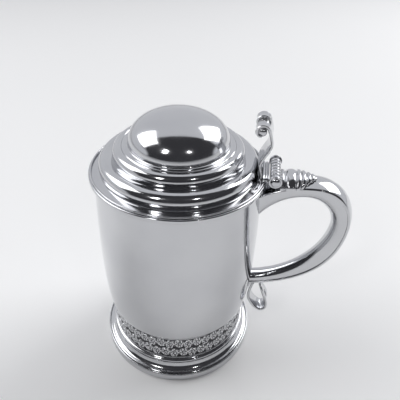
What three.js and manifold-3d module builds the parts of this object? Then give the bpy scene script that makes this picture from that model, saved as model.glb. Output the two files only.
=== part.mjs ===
// Lidded quart tankard: a bellied drum on a moulded foot with a leaf band, a hollow handle with a
// scrolled tail, and a stepped dome lid on a seven-knuckle hinge with a double-scroll thumbpiece.
// Millimetres, +Z up. The vessel axis is Z and the handle lies along +X. The origin is at the centre
// of the bounding box, on the table.
import * as THREE from 'three';
import { mergeVertices } from 'three/addons/utils/BufferGeometryUtils.js';
import Module from 'manifold-3d';

const wasm = await Module();
wasm.setup();

// ---------------------------------------------------------------- driving sizes

const clearance = 0.3; // left between pieces that touch or are soldered together

const drumHeight = 150.3; // mouth edge above the table
const mouthRadius = 53.8; // outside of the drum at the mouth
const bellyOut = 1.8; // how far the belly stands out past the mouth radius
const bellyHeight = 95;
const tuckIn = 1; // how far the drum tucks in, above the band, from the mouth radius
const baseIn = 4.4; // how far the plain wall behind the band is set in from the mouth radius
const drumWall = 1.8;
const drumBottom = 12.5; // lower edge of the drum wall
const bottomDisc = { thickness: 1.6, dome: 2.2, height: 13 };

const bandLow = 17.6;
const bandHigh = 39.9;
const bandThickness = 0.8;
const bandWire = 0.9; // radius of the wire over the band

const footOut = 4.2; // foot radius past the mouth radius
const footRim = 5.6; // height of the upright rim
const footTread = 3.4; // width of the ring that stands on the table
const footBead = 1.3;
const footWire = 0.55;

const brimOut = 3.6; // brim radius past the mouth radius
const brimThickness = 2.6;
const brimRise = 0.8; // climb of the brim from its edge to the first tier
const lidWall = 1.4;
const lowerTier = { radius: 5.2, inset: 3.1, height: 7.4 }; // torus, its widest point from the mouth
const upperTier = { radius: 4.1, inset: 12.4, height: 15.3 };
const tierValley = { inset: 11.9, height: 12 }; // crease between the two tiers
const domeInset = 21.8; // dome radius in from the mouth radius
const domeFoot = 20.5; // height of the foot of the dome over the lid's seat
const domeRise = 18.7;
const domeCove = 1.8; // width of the cove round the foot of the dome
const rimWire = 0.5;
const bezel = { wall: 1.2, depth: 5, play: 0.7 };

const knuckleRadius = 3.4;
const knuckleWidth = 3.1;
const knuckleCount = 7;
const pinRadius = 1.5;
const hingeOut = 7.7; // hinge axis past the mouth radius
const hingeRise = 5.6; // hinge axis over the lid's seat
const pinCollar = { radius: 4.15, width: 1.4, headRadius: 3, headHeight: 1.6 };

const plateHalfWidth = 11; // both ribbed hinge plates
const lidPlate = { thickness: 2.6, ribs: [0.19, 0.56, 0.86], ribHeight: 1 };
const drop = { length: 22, thickness: 2.6, straight: 10, ribHeight: 1.2 };
const dropRibs = [0.9, 6.2, 11.2, 14.2, 17.4, 19.8];

const handleReach = 61.3; // from the mouth radius to the outermost edge of the bow
const handleTop = 0.7; // top of the bow's edge over the drum's mouth
const handleLow = 60.5; // underside edge where the handle comes back to the drum
const bowHeight = 121.9; // height of the outermost point
const handleDepth = { top: 10, bow: 11, low: 7, root: 26 };
const strapHalfWidth = { top: 9.3, bow: 8.6, low: 6.6 };
const strapThickness = 1.6;
const strapCrown = 2.4;
const channelWall = 1.2;
const channelShoulder = 0.9; // ledge between the strap's edge and the channel's side

const tailDrop = 29.5; // the tail scroll's lowest point under the handle's lower edge
const tailOut = 15; // reach of the tail scroll from the drum's side
const tailThickness = 1.8;
const tailHalfWidth = { root: 5, turn: 5.8, leaf: 5.9 };
const tailEye = { halfWidth: 1.9, halfHeight: 3.4 };

const thumbHeight = 41.9; // top of the scrolls over the lid's seat
const thumbLean = 4.2; // how far the thumbpiece leans towards the handle
const thumbThickness = 1.6;
const thumbCrown = 0.4;
const thumbHalfWidth = { root: 10.4, waist: 9.2, top: 10.4 };
const scrollRadius = 5.2;
const scrollStart = 0.5; // where the scrolls leave the stem, as a share of its lean
const scrollSplit = 3.2; // half of the space between the two scrolls
const scrollEye = 2.7;

const turnSteps = 36; // facets round the vessel

// ---------------------------------------------------------------- worked-out places

const lidSeat = drumHeight + clearance;
const baseRadius = mouthRadius - baseIn;
const footRadius = mouthRadius + footOut;
const bandOuter = baseRadius + clearance + bandThickness;
const wireHeight = bandHigh + clearance + bandWire;
const ledgeHeight = wireHeight + bandWire + clearance;
const brimRadius = mouthRadius + brimOut;
const hingeX = mouthRadius + hingeOut;
const hingeZ = lidSeat + hingeRise;
const knucklePitch = knuckleWidth + clearance;
const knucklesHalf = (knuckleCount * knucklePitch) / 2;

// ---------------------------------------------------------------- geometry helpers

const flat = (r, z) => new THREE.Vector2(r, z);
const spot = (x, z) => new THREE.Vector3(x, 0, z);
const blend = (a, b, t) => a + (b - a) * t;

// Points of an arc about (cr, cz), angles in degrees from the outward direction.
function arc(cr, cz, radius, from, to, steps) {
  const angleAt = (i) => THREE.MathUtils.degToRad(blend(from, to, i / steps));
  const pointAt = (a) => flat(cr + radius * Math.cos(a), cz + radius * Math.sin(a));
  return Array.from({ length: steps + 1 }, (_, i) => pointAt(angleAt(i)));
}

// Six times the signed volume: negative when the faces point inwards.
function signedVolume(position, index) {
  const [a, b, c] = [new THREE.Vector3(), new THREE.Vector3(), new THREE.Vector3()];
  let sum = 0;
  for (let i = 0; i < index.length; i += 3) {
    a.fromBufferAttribute(position, index[i]);
    b.fromBufferAttribute(position, index[i + 1]);
    c.fromBufferAttribute(position, index[i + 2]);
    sum += a.dot(b.cross(c));
  }
  return sum;
}

// Shares the corners, drops collapsed triangles and turns the faces outwards.
function closed(geometry) {
  const bare = new THREE.BufferGeometry();
  bare.setAttribute('position', geometry.getAttribute('position'));
  if (geometry.index) bare.setIndex(geometry.index);
  const merged = mergeVertices(bare, 1e-4);
  const kept = [];
  const old = merged.index.array;
  for (let i = 0; i < old.length; i += 3) {
    const [a, b, c] = [old[i], old[i + 1], old[i + 2]];
    if (a !== b && b !== c && c !== a) kept.push(a, b, c);
  }
  if (signedVolume(merged.getAttribute('position'), kept) < 0) kept.reverse();
  merged.setIndex(kept);
  return merged;
}

// A profile of (radius, height) points turned about the vessel axis.
function turned(profile, steps = turnSteps) {
  const geometry = new THREE.LatheGeometry(profile, steps);
  geometry.rotateX(Math.PI / 2);
  return closed(geometry);
}

// A closed ring: the profile is joined back to its first point.
const turnedRing = (profile, steps = turnSteps) => turned([...profile, profile[0]], steps);

// A plain round wire bent into a hoop about the vessel axis.
const hoop = (radius, height, wire) => turned(arc(radius, height, wire, 0, 360, 6));

// A solid through stations. Each station has a closed section of (across, out) points and a place
// function that puts a section point in space.
function loft(stations) {
  const clockwise = THREE.ShapeUtils.isClockWise(stations[0].section);
  const sections = stations.map(({ section }) => (clockwise ? [...section].reverse() : section));
  const count = sections[0].length;
  const position = [];
  const index = [];
  stations.forEach(({ place }, i) => {
    sections[i].forEach((point) => position.push(...place(point).toArray()));
  });
  for (let i = 0; i + 1 < stations.length; i++) {
    for (let j = 0; j < count; j++) {
      const [a, b] = [i * count + j, i * count + ((j + 1) % count)];
      index.push(a, a + count, b, b, a + count, b + count);
    }
  }
  const last = (stations.length - 1) * count;
  const firstCap = THREE.ShapeUtils.triangulateShape(sections[0], []);
  const lastCap = THREE.ShapeUtils.triangulateShape(sections[stations.length - 1], []);
  firstCap.forEach(([a, b, c]) => index.push(a, b, c));
  lastCap.forEach(([a, b, c]) => index.push(last + a, last + c, last + b));
  const geometry = new THREE.BufferGeometry();
  geometry.setAttribute('position', new THREE.Float32BufferAttribute(position, 3));
  geometry.setIndex(index);
  return closed(geometry);
}

function toManifold(geometry) {
  const vertProperties = new Float32Array(geometry.getAttribute('position').array);
  const triVerts = new Uint32Array(geometry.index.array);
  return new wasm.Manifold(new wasm.Mesh({ numProp: 3, vertProperties, triVerts }));
}

function fromManifold(manifold) {
  const mesh = manifold.getMesh();
  const geometry = new THREE.BufferGeometry();
  geometry.setAttribute('position', new THREE.BufferAttribute(mesh.vertProperties, 3));
  geometry.setIndex([...mesh.triVerts]);
  return closed(geometry);
}

function cut(geometry, ...tools) {
  return fromManifold(tools.reduce((solid, tool) => solid.subtract(toManifold(tool)), toManifold(geometry)));
}

function join(geometry, ...others) {
  return fromManifold(others.reduce((solid, other) => solid.add(toManifold(other)), toManifold(geometry)));
}

// Stations along a curve in the XZ plane. The section's "out" lies on the left of the direction of
// travel, and sectionAt gives the section at a share of the length from 0 to 1.
function along(curve, steps, sectionAt) {
  return Array.from({ length: steps + 1 }, (_, i) => {
    const t = i / steps;
    const centre = curve.getPointAt(t);
    const travel = curve.getTangentAt(t);
    const out = spot(-travel.z, travel.x).normalize();
    const place = (p) => centre.clone().addScaledVector(out, p.y).setY(p.x);
    return { section: sectionAt(t), place };
  });
}

// A strip's section: round-edged, with its middle raised by the crown.
function stripSection(halfWidth, thickness, crown, across = 6) {
  const rise = (y) => crown * (1 - (y / halfWidth) ** 2);
  const yAt = (i) => halfWidth * (1 - (2 * i) / across);
  const upper = Array.from({ length: across + 1 }, (_, i) => flat(yAt(i), rise(yAt(i)) + thickness / 2));
  const lower = Array.from({ length: across + 1 }, (_, i) => flat(-yAt(i), rise(yAt(i)) - thickness / 2));
  return [...upper, ...lower];
}

// A smooth change through three values at 0, the middle place and 1.
function through(t, [first, second, third], middle = 0.5) {
  if (t < middle) return blend(first, second, THREE.MathUtils.smoothstep(t, 0, middle));
  return blend(second, third, THREE.MathUtils.smoothstep(t, middle, 1));
}

// ---------------------------------------------------------------- drum, band and foot

// Outside radius of the bellied wall at a height over the band.
function drumOutside(z) {
  const belly = mouthRadius + bellyOut;
  if (z > bellyHeight) return belly - bellyOut * ((z - bellyHeight) / (drumHeight - bellyHeight)) ** 2;
  const share = Math.min(1, (bellyHeight - z) / (bellyHeight - ledgeHeight));
  return belly - (bellyOut + tuckIn) * share ** 3;
}

function wallLine(steps, inset) {
  const zAt = (i) => blend(ledgeHeight, drumHeight, i / steps);
  return Array.from({ length: steps + 1 }, (_, i) => flat(drumOutside(zAt(i)) - inset, zAt(i)));
}

function drumGeometry() {
  const outside = [flat(baseRadius, drumBottom), flat(baseRadius, ledgeHeight), ...wallLine(9, 0)];
  const inside = wallLine(6, drumWall).slice(1).reverse();
  const innerBase = baseRadius - drumWall;
  return turnedRing([...outside, ...inside, flat(innerBase, bandHigh), flat(innerBase, drumBottom)]);
}

function bottomGeometry() {
  const radius = baseRadius - drumWall - clearance;
  const { thickness, dome, height } = bottomDisc;
  const share = [0, 0.35, 0.7, 0.92, 1];
  const rise = (s) => height + dome * Math.cos((s * Math.PI) / 2);
  const under = share.map((s) => flat(radius * s, rise(s)));
  const over = share.map((s) => flat(radius * s, rise(s) + thickness)).reverse();
  return turned([...under, ...over]);
}

function bandGeometry() {
  const inner = baseRadius + clearance;
  return turnedRing([
    flat(inner, bandLow), flat(bandOuter, bandLow), flat(bandOuter, bandHigh), flat(inner, bandHigh),
  ]);
}

const bandWireGeometry = () => hoop(baseRadius + clearance + bandWire, wireHeight, bandWire);

const footShoulder = footRim + clearance + 2 * footWire;

function footGeometry() {
  const collar = baseRadius + clearance;
  const beadHeight = bandLow - clearance - 0.9 - footBead;
  const waist = collar + 1.6;
  const step = footRadius - 2 * footWire - clearance;
  const rim = [flat(footRadius - footTread, 0), flat(footRadius, 0), flat(footRadius, footRim)];
  const shelf = [flat(step, footRim), flat(step, footShoulder), flat(step - 0.9, footShoulder + 0.7)];
  const cove = arc(step - 0.9, beadHeight - footBead - 0.3, step - 0.9 - waist, -90, -180, 4);
  const coveLow = beadHeight - footBead - 0.3 - (step - 0.9 - waist);
  const climb = cove.map((p) => flat(p.x, blend(footShoulder + 0.7, beadHeight - footBead,
    (p.y - coveLow) / (step - 0.9 - waist))));
  const bead = arc(waist - 0.2, beadHeight, footBead, -70, 80, 4);
  const top = [flat(collar + 0.9, bandLow - clearance), flat(collar, bandLow - clearance)];
  const inside = [flat(collar, drumBottom - 1), flat(collar + 0.7, drumBottom - 4), flat(footRadius - footTread, 4.5)];
  return turnedRing([...rim, ...shelf, ...climb.slice(1), ...bead, ...top, ...inside]);
}

const footWireGeometry = () => hoop(footRadius - footWire, footRim + clearance + footWire, footWire);

// ---------------------------------------------------------------- lid

const lowerTorus = { r: mouthRadius - lowerTier.inset - lowerTier.radius, z: lidSeat + lowerTier.height };
const upperTorus = { r: mouthRadius - upperTier.inset - upperTier.radius, z: lidSeat + upperTier.height };
const domeRadius = mouthRadius - domeInset;
const brimTop = lidSeat + brimThickness;

// The lid's outline from the foot of the first tier to the crown, set in by the wall for the inner face.
function lidOutline(inset, steps) {
  const low = arc(lowerTorus.r, lowerTorus.z, lowerTier.radius - inset, -20, 100, steps);
  const valley = flat(mouthRadius - tierValley.inset - inset, lidSeat + tierValley.height - inset);
  const high = arc(upperTorus.r, upperTorus.z, upperTier.radius - inset, -20, 84, steps);
  const foot = lidSeat + domeFoot - inset;
  const shelf = upperTorus.z + upperTier.radius + 0.1 - inset;
  const radius = domeRadius - inset;
  const ring = [
    flat(radius + domeCove, shelf), flat(radius + domeCove * 0.4, blend(shelf, foot, 0.4)), flat(radius, foot),
  ];
  const domeAt = (a) => flat(radius * Math.cos(a) ** 0.88, foot + domeRise * Math.sin(a));
  const dome = Array.from({ length: steps + 3 }, (_, i) => domeAt(((i + 1) / (steps + 3)) * (Math.PI / 2)));
  return [...low, valley, ...high, ...ring, ...dome];
}

function lidCoverGeometry() {
  const tierFoot = lowerTorus.r + lowerTier.radius;
  const tierBase = brimTop + brimRise;
  const edge = [flat(brimRadius - 0.5, lidSeat), flat(brimRadius, lidSeat + 0.5), flat(brimRadius, brimTop - 0.5)];
  const brim = [
    flat(brimRadius - 0.5, brimTop), flat(brimRadius - 2.2, brimTop + 0.1), flat(tierFoot + 1, tierBase - 0.3),
    flat(tierFoot - 0.4, tierBase),
  ];
  const outer = [...edge, ...brim, ...lidOutline(0, 4)];
  outer[outer.length - 1].x = 0;
  const inner = lidOutline(lidWall, 3).reverse();
  inner[0].x = 0;
  const mouth = [flat(mouthRadius - drumWall - bezel.play - bezel.wall - 0.8, lidSeat)];
  return turned([...outer, ...inner, ...mouth, edge[0]].map((p) => p.clone()).reverse());
}

const rimWireGeometry = () => hoop(brimRadius - 1.6, brimTop + clearance + rimWire, rimWire);

function bezelGeometry() {
  const outer = mouthRadius - drumWall - bezel.play;
  const inner = outer - bezel.wall;
  const top = lidSeat - clearance;
  const low = top - bezel.depth;
  return turnedRing([
    flat(inner, low), flat(outer - 0.4, low), flat(outer, low + 1.2), flat(outer, top), flat(inner, top),
  ]);
}

// ---------------------------------------------------------------- hinge

const thumbRootX = mouthRadius - lowerTier.inset + clearance + thumbThickness / 2 + thumbCrown + 0.1;

const knuckleY = (i) => (i + 0.5) * knucklePitch - knucklesHalf;

// A profile of (radius, along the pin) points turned about the hinge axis, at a place along it.
function onHinge(profile, y, steps = 16) {
  const geometry = new THREE.LatheGeometry(profile, steps);
  geometry.translate(hingeX, y, 0);
  geometry.translate(0, 0, hingeZ);
  return closed(geometry);
}

function knuckleGeometry(i) {
  const half = knuckleWidth / 2;
  const bore = pinRadius + clearance;
  const rim = [flat(bore, -half), flat(knuckleRadius - 0.5, -half), flat(knuckleRadius, -half + 0.6)];
  const back = [flat(knuckleRadius, half - 0.6), flat(knuckleRadius - 0.5, half), flat(bore, half)];
  return onHinge([...rim, ...back, flat(bore, -half)], knuckleY(i));
}

function pinGeometry() {
  const half = knucklesHalf;
  return onHinge([flat(0, -half), flat(pinRadius, -half), flat(pinRadius, half), flat(0, half)], 0, 12);
}

function pinHeadGeometry(side) {
  const { radius, width, headRadius, headHeight } = pinCollar;
  const start = clearance;
  const collar = [
    flat(0, start), flat(radius - 0.3, start), flat(radius, start + 0.3), flat(radius, start + width - 0.3),
    flat(radius - 0.3, start + width), flat(headRadius, start + width),
  ];
  const headAt = (a) => flat(headRadius * Math.cos(a), start + width + headHeight * Math.sin(a));
  const head = [0.25, 0.5, 0.75, 1].map((s) => headAt((s * Math.PI) / 2));
  head[3].x = 0;
  const profile = [...collar, ...head].map((p) => flat(p.x, side * p.y));
  return onHinge(profile, side * knucklesHalf);
}

// A rib's bump: one at its middle, nothing past its half-length.
const bump = (x, middle, half) => Math.max(0, 1 - ((x - middle) / half) ** 2);

// Crowned plate on the brim, between the first tier and the knuckles, with three cross ribs.
function lidPlateGeometry() {
  const end = hingeX - knuckleRadius - clearance;
  const start = thumbRootX + thumbThickness / 2 + clearance + 0.1;
  const low = brimTop + 2 * clearance + 2 * rimWire;
  const steps = 16;
  const stations = Array.from({ length: steps + 1 }, (_, i) => {
    const t = i / steps;
    const ribs = lidPlate.ribs.map((middle) => bump(t, middle, 0.15));
    const height = lidPlate.thickness - lidPlate.ribHeight + lidPlate.ribHeight * Math.max(...ribs);
    const section = plateSection(plateHalfWidth - 0.5 * (1 - Math.max(...ribs)), low, low + height);
    return { section, place: (p) => new THREE.Vector3(blend(start, end, t), p.x, p.y) };
  });
  return loft(stations);
}

function plateSection(half, low, high) {
  const shoulder = blend(low, high, 0.55);
  return [
    flat(half, low), flat(half, shoulder), flat(half * 0.9, high - 0.3), flat(half * 0.5, high),
    flat(0, high + 0.1), flat(-half * 0.5, high), flat(-half * 0.9, high - 0.3), flat(-half, shoulder),
    flat(-half, low),
  ];
}

// ---------------------------------------------------------------- handle

// The edge line of the outer strap: up from the drum, over the top, round the bow and back.
function handleEdges() {
  const top = drumHeight + handleTop;
  const bowX = mouthRadius + handleReach - strapCrown;
  const topX = mouthRadius + 0.55 * handleReach;
  const drumIn = mouthRadius - 3;
  const { bow, low, root } = handleDepth;
  const edge = new THREE.CurvePath();
  edge.add(bezier([drumIn, top - 11.5], [drumIn + 11, top - 3.8], [topX - 15, top], [topX, top]));
  edge.add(bezier([topX, top], [topX + 16.5, top], [bowX, blend(bowHeight, top, 0.56)], [bowX, bowHeight]));
  edge.add(bezier([bowX, bowHeight], [bowX - 0.5, blend(handleLow, bowHeight, 0.54)],
    [bowX - 16, handleLow + 7.4], [drumIn, handleLow - 1]));
  const inner = new THREE.CurvePath();
  const innerTop = top - handleDepth.top;
  const innerBow = [bowX - bow + 0.8, bowHeight - 2.5];
  inner.add(bezier([drumIn, top - 11.5 - root], [drumIn + 5, top - 24], [topX - 20, innerTop - 0.4],
    [topX - 4.5, innerTop]));
  inner.add(bezier([topX - 4.5, innerTop], [topX + 6.5, innerTop], [innerBow[0] + 0.3, innerBow[1] + 12], innerBow));
  inner.add(bezier(innerBow, [innerBow[0] - 0.6, innerBow[1] - 20], [innerBow[0] - 18.4, handleLow + low + 5.2],
    [drumIn, handleLow + low - 1]));
  return { edge, inner };
}

function bezier(...points) {
  return new THREE.CubicBezierCurve3(...points.map(([x, z]) => spot(x, z)));
}

// Stations whose "out" points from the inner line to the strap's edge line.
function handleStations(steps, sectionAt) {
  const { edge, inner } = handleEdges();
  return Array.from({ length: steps + 1 }, (_, i) => {
    const t = i / steps;
    const rim = edge.getPoint(t);
    const nose = inner.getPoint(t);
    const out = rim.clone().sub(nose).normalize();
    const place = (p) => rim.clone().addScaledVector(out, p.y).setY(p.x);
    return { section: sectionAt(t, rim.distanceTo(nose)), place };
  });
}

const strapHalf = (t) => through(t, [strapHalfWidth.top, strapHalfWidth.bow, strapHalfWidth.low], 0.6);

// Drum, grown by the clearance, that shapes the handle's two ends.
function drumTool() {
  const wall = wallLine(9, -clearance);
  return turned([
    flat(0, 30), flat(baseRadius + clearance, 30), flat(wall[0].x, ledgeHeight), ...wall.slice(1),
    flat(mouthRadius + clearance, drumHeight + 20), flat(0, drumHeight + 20),
  ]);
}

function strapGeometry() {
  const sectionAt = (t) => {
    const section = stripSection(strapHalf(t), strapThickness, strapCrown);
    return section.map((p) => flat(p.x, p.y - strapThickness / 2));
  };
  return cut(loft(handleStations(24, sectionAt)), drumTool());
}

// The U of the hollow inner side: out to the ledge under the strap, round the nose and back.
function channelGeometry() {
  const sectionAt = (t, depth) => {
    const half = strapHalf(t) - channelShoulder;
    const start = -strapThickness - clearance;
    const reach = depth + start;
    const uPoint = (a, w, d) => flat(w * Math.cos(a), start - d * Math.sin(a) ** 0.7);
    const angles = Array.from({ length: 9 }, (_, i) => (i / 8) * Math.PI);
    const outside = angles.map((a) => uPoint(a, half, reach));
    const inside = angles.map((a) => uPoint(a, half - channelWall, reach - channelWall)).reverse();
    return [...outside, ...inside];
  };
  return cut(loft(handleStations(24, sectionAt)), drumTool());
}

// Tapering ribbed drop that runs from the knuckles down the strap.
function dropGeometry() {
  const { edge } = handleEdges();
  const start = hingeX + knuckleRadius + clearance;
  const samples = edge.getPoints(60).filter((p) => p.z > bowHeight);
  const edgeZ = (x) => samples.reduce((best, p) => (Math.abs(p.x - x) < Math.abs(best.x - x) ? p : best)).z;
  const steps = 22;
  const stations = Array.from({ length: steps + 1 }, (_, i) => {
    const run = (i / steps) * drop.length;
    const taper = Math.max(0, (run - drop.straight) / (drop.length - drop.straight));
    const rib = Math.max(...dropRibs.map((middle, n) => bump(run, middle, n === 1 ? 3 : 1.4)));
    const half = (plateHalfWidth - 0.6 * (1 - rib)) * (1 - 0.84 * taper ** 1.3);
    const strapTop = blend(edgeZ(start + run), drumHeight + handleTop, 0.5) + clearance + 0.5;
    const fall = 1 - 0.55 * taper;
    const high = drop.thickness * fall + drop.ribHeight * rib * fall;
    const section = dropSection(half, strapTop, high);
    return { section, place: (p) => new THREE.Vector3(start + run, p.x, p.y) };
  });
  return loft(stations);
}

// Its underside follows the strap's crown, and its top is crowned in the same way.
function dropSection(half, strapTop, high) {
  const crownAt = (y) => strapCrown * (1 - Math.min(1, (y / strapHalfWidth.top) ** 2));
  const under = [-1, -0.5, 0, 0.5, 1].map((s) => flat(s * half, strapTop + crownAt(s * half)));
  const overAt = (s) => flat(s * half, strapTop + crownAt(s * half) + high * (1 - 0.35 * s ** 4));
  const over = [1, 0.8, 0.4, 0, -0.4, -0.8, -1].map(overAt);
  return [...under, ...over];
}

// ---------------------------------------------------------------- tail scroll

// Down the drum's side, outwards under itself and back up to a rounded leaf with a pierced eye.
function tailGeometry() {
  const top = handleLow - strapCrown - 0.4;
  const low = handleLow - tailDrop;
  // The ribbon touches the drum just over the ledge, where it already leans out from its foot.
  const touch = Math.max(ledgeHeight, blend(low, top, 0.6));
  const lean = Math.max(0, (touch - low) / (top - low) - 0.6) * 0.33 * tailOut;
  const side = drumOutside(touch) + tailThickness / 2 + clearance + 0.6 - lean;
  const at = (across, up) => spot(side + across * tailOut, blend(low, top, up));
  const path = new THREE.CatmullRomCurve3([
    at(0.15, 1), at(0.03, 0.75), at(0, 0.53), at(0.07, 0.37), at(0.25, 0.19), at(0.47, 0.06), at(0.71, 0),
    at(0.9, 0.05), at(0.97, 0.19), at(0.93, 0.39), at(0.77, 0.63), at(0.55, 0.89),
  ], false, 'centripetal');
  const leafWidth = (t) => tailHalfWidth.leaf * Math.sqrt(Math.max(0.03, 1 - Math.max(0, (t - 0.74) / 0.27) ** 2));
  const widthAt = (t) => (t < 0.74
    ? through(t / 0.74, [tailHalfWidth.root, tailHalfWidth.turn, tailHalfWidth.leaf])
    : leafWidth(t));
  const ribbon = loft(along(path, 24, (t) => stripSection(widthAt(t), tailThickness, 0.3, 4)));
  const centre = at(0.85, 0.52);
  const travel = path.getTangentAt(0.82);
  return cut(ribbon, eyeTool(centre, travel));
}

// Oval rod through the leaf of the tail, its long side along the direction of travel.
function eyeTool(centre, travel) {
  const out = spot(-travel.z, travel.x).normalize();
  const ring = Array.from({ length: 12 }, (_, i) => {
    const a = (i / 12) * 2 * Math.PI;
    return flat(tailEye.halfWidth * Math.cos(a), tailEye.halfHeight * Math.sin(a));
  });
  const place = (depth) => (p) => centre.clone().addScaledVector(travel, p.y)
    .addScaledVector(out, depth).setY(p.x);
  return loft([{ section: ring, place: place(-4) }, { section: ring, place: place(4) }]);
}

// ---------------------------------------------------------------- thumbpiece

// A wide strip that stands in front of the hinge plate and splits into two scrolls at the top.
function thumbGeometry() {
  const base = brimTop + brimRise + clearance + 0.3;
  const top = lidSeat + thumbHeight - thumbThickness / 2;
  const eyeZ = top - scrollRadius + thumbThickness / 2;
  const lean = (up, out) => spot(thumbRootX + out * thumbLean, blend(base, eyeZ, up));
  const stem = new THREE.CatmullRomCurve3([
    lean(0, 0), lean(0.13, 0), lean(0.25, -0.28), lean(0.33, -0.25), lean(0.45, 0.14), lean(0.61, 0.76),
    lean(0.75, 1), lean(0.88, 0.84), lean(1.02, scrollStart),
  ], false, 'centripetal');
  const stemWidth = (t) => through(t, [thumbHalfWidth.root, thumbHalfWidth.waist, thumbHalfWidth.top]);
  const strip = loft(along(stem, 12, (t) => stripSection(stemWidth(t), thumbThickness, thumbCrown)));
  const head = lean(1, scrollStart);
  const parts = [-1, 1].flatMap((side) => scrollGeometry(side, head, eyeZ));
  return join(strip, ...parts);
}

// One scroll: a spiral strip that curls over towards the lid, and its rounded eye.
function scrollGeometry(side, head, eyeZ) {
  const half = (thumbHalfWidth.top - scrollSplit) / 2;
  const middle = side * (scrollSplit + half);
  const radius = scrollRadius - thumbThickness / 2;
  const eye = spot(head.x - radius, eyeZ);
  const turn = (i) => (i / 14) * 1.5 * Math.PI;
  const spiral = new THREE.CatmullRomCurve3(Array.from({ length: 15 }, (_, i) => {
    const shrink = radius * (1 - 0.4 * (i / 14));
    return spot(eye.x + shrink * Math.cos(turn(i)), eye.z + shrink * Math.sin(turn(i)));
  }));
  const curl = loft(along(spiral, 14, () => stripSection(half, thumbThickness, 0.3, 4)));
  const rod = [flat(0, -half - 0.6), flat(scrollEye * 0.8, -half - 0.3), flat(scrollEye, -half + 0.4),
    flat(scrollEye, half - 0.4), flat(scrollEye * 0.8, half + 0.3), flat(0, half + 0.6)];
  const roll = closed(new THREE.LatheGeometry(rod, 12).translate(eye.x, 0, eye.z));
  return [curl.translate(0, middle, 0), roll.translate(0, middle, 0)];
}

// ---------------------------------------------------------------- assembly

const pewter = { color: 0xb9bbbd, roughness: 0.14, metalness: 1 };
const wornPewter = { color: 0x9fa2a5, roughness: 0.3, metalness: 1 };
const steel = { color: 0x8f9296, roughness: 0.25, metalness: 1 };

function piece(name, geometry, look) {
  const mesh = new THREE.Mesh(geometry, new THREE.MeshStandardMaterial(look));
  mesh.name = name;
  return mesh;
}

function vessel() {
  const group = new THREE.Group();
  group.add(
    piece('body_drum', drumGeometry(), pewter),
    piece('body_bottom', bottomGeometry(), wornPewter),
    piece('foliate_band', bandGeometry(), wornPewter),
    piece('band_wire', bandWireGeometry(), pewter),
    piece('foot_moulding', footGeometry(), pewter),
    piece('foot_wire', footWireGeometry(), pewter),
    piece('handle_strap', strapGeometry(), pewter),
    piece('handle_channel', channelGeometry(), pewter),
    piece('handle_drop', dropGeometry(), pewter),
    piece('handle_tail_scroll', tailGeometry(), pewter),
    piece('hinge_pin', pinGeometry(), steel),
    piece('hinge_pin_head_front', pinHeadGeometry(-1), pewter),
    piece('hinge_pin_head_back', pinHeadGeometry(1), pewter),
  );
  for (let i = 0; i < knuckleCount; i += 2) {
    group.add(piece(`handle_knuckle_${i / 2 + 1}`, knuckleGeometry(i), pewter));
  }
  return group;
}

function lid() {
  const group = new THREE.Group();
  group.add(
    piece('lid_cover', lidCoverGeometry(), pewter),
    piece('lid_rim_wire', rimWireGeometry(), pewter),
    piece('lid_bezel', bezelGeometry(), wornPewter),
    piece('lid_hinge_plate', lidPlateGeometry(), pewter),
    piece('thumbpiece', thumbGeometry(), pewter),
  );
  for (let i = 1; i < knuckleCount; i += 2) {
    group.add(piece(`lid_knuckle_${(i + 1) / 2}`, knuckleGeometry(i), pewter));
  }
  return group;
}

const tankard = new THREE.Group();
tankard.add(vessel(), lid());
const box = new THREE.Box3().setFromObject(tankard);
tankard.position.set(-(box.min.x + box.max.x) / 2, -(box.min.y + box.max.y) / 2, -box.min.z);
tankard.updateMatrixWorld(true);

export default tankard;
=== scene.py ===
"""Looks of the lidded pewter tankard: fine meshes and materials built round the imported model."""
import math

import bmesh
import bpy
import numpy as np
from mathutils import Matrix, Vector


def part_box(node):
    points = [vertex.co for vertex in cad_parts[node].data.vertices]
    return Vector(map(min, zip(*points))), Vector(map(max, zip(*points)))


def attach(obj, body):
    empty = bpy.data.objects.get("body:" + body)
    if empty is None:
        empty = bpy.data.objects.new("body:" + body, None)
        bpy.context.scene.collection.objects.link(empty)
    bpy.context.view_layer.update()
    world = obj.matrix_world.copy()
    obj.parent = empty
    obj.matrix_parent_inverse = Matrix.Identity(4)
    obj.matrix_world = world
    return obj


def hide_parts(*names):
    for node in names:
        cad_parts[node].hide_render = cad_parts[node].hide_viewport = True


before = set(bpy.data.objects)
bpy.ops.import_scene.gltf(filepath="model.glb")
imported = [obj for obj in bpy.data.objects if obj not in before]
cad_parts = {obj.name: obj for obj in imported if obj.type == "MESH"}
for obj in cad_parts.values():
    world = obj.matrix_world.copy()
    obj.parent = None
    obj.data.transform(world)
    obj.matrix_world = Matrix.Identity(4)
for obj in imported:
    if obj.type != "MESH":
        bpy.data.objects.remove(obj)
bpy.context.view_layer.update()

MM = 0.001

# ------------------------------------------------------------------ sizes read from the frame, mm


def box_mm(node):
    low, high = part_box(node)
    return np.array(low) / MM, np.array(high) / MM


def middle_mm(node):
    low, high = box_mm(node)
    return (low + high) / 2


# Sizes of the built model that its boxes don't show.
clearance = 0.3
belly_out = 1.8
belly_height = 95
tuck_in = 1.0
drum_wall = 1.8
bottom_thickness = 1.6
band_thickness = 0.8
ledge_over_wire = 0.4  # the drum's ledge over the top of the wire's box

foot_tread = 3.4
foot_bead = 1.3
foot_shelf = 1.4  # width of the step that carries the foot's wire
foot_waist = 1.6  # how far the top of the cove stands out past the collar

brim_thickness = 2.6
brim_rise = 0.8
lid_wall = 1.4
bezel_wall = 1.2
lower_tier = {"radius": 5.2, "inset": 3.1, "height": 7.4}
upper_tier = {"radius": 4.1, "inset": 12.4, "height": 15.3}
tier_valley = {"inset": 11.9, "height": 12}
dome_inset = 21.8
dome_foot = 20.5
dome_cove = 1.8

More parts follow.
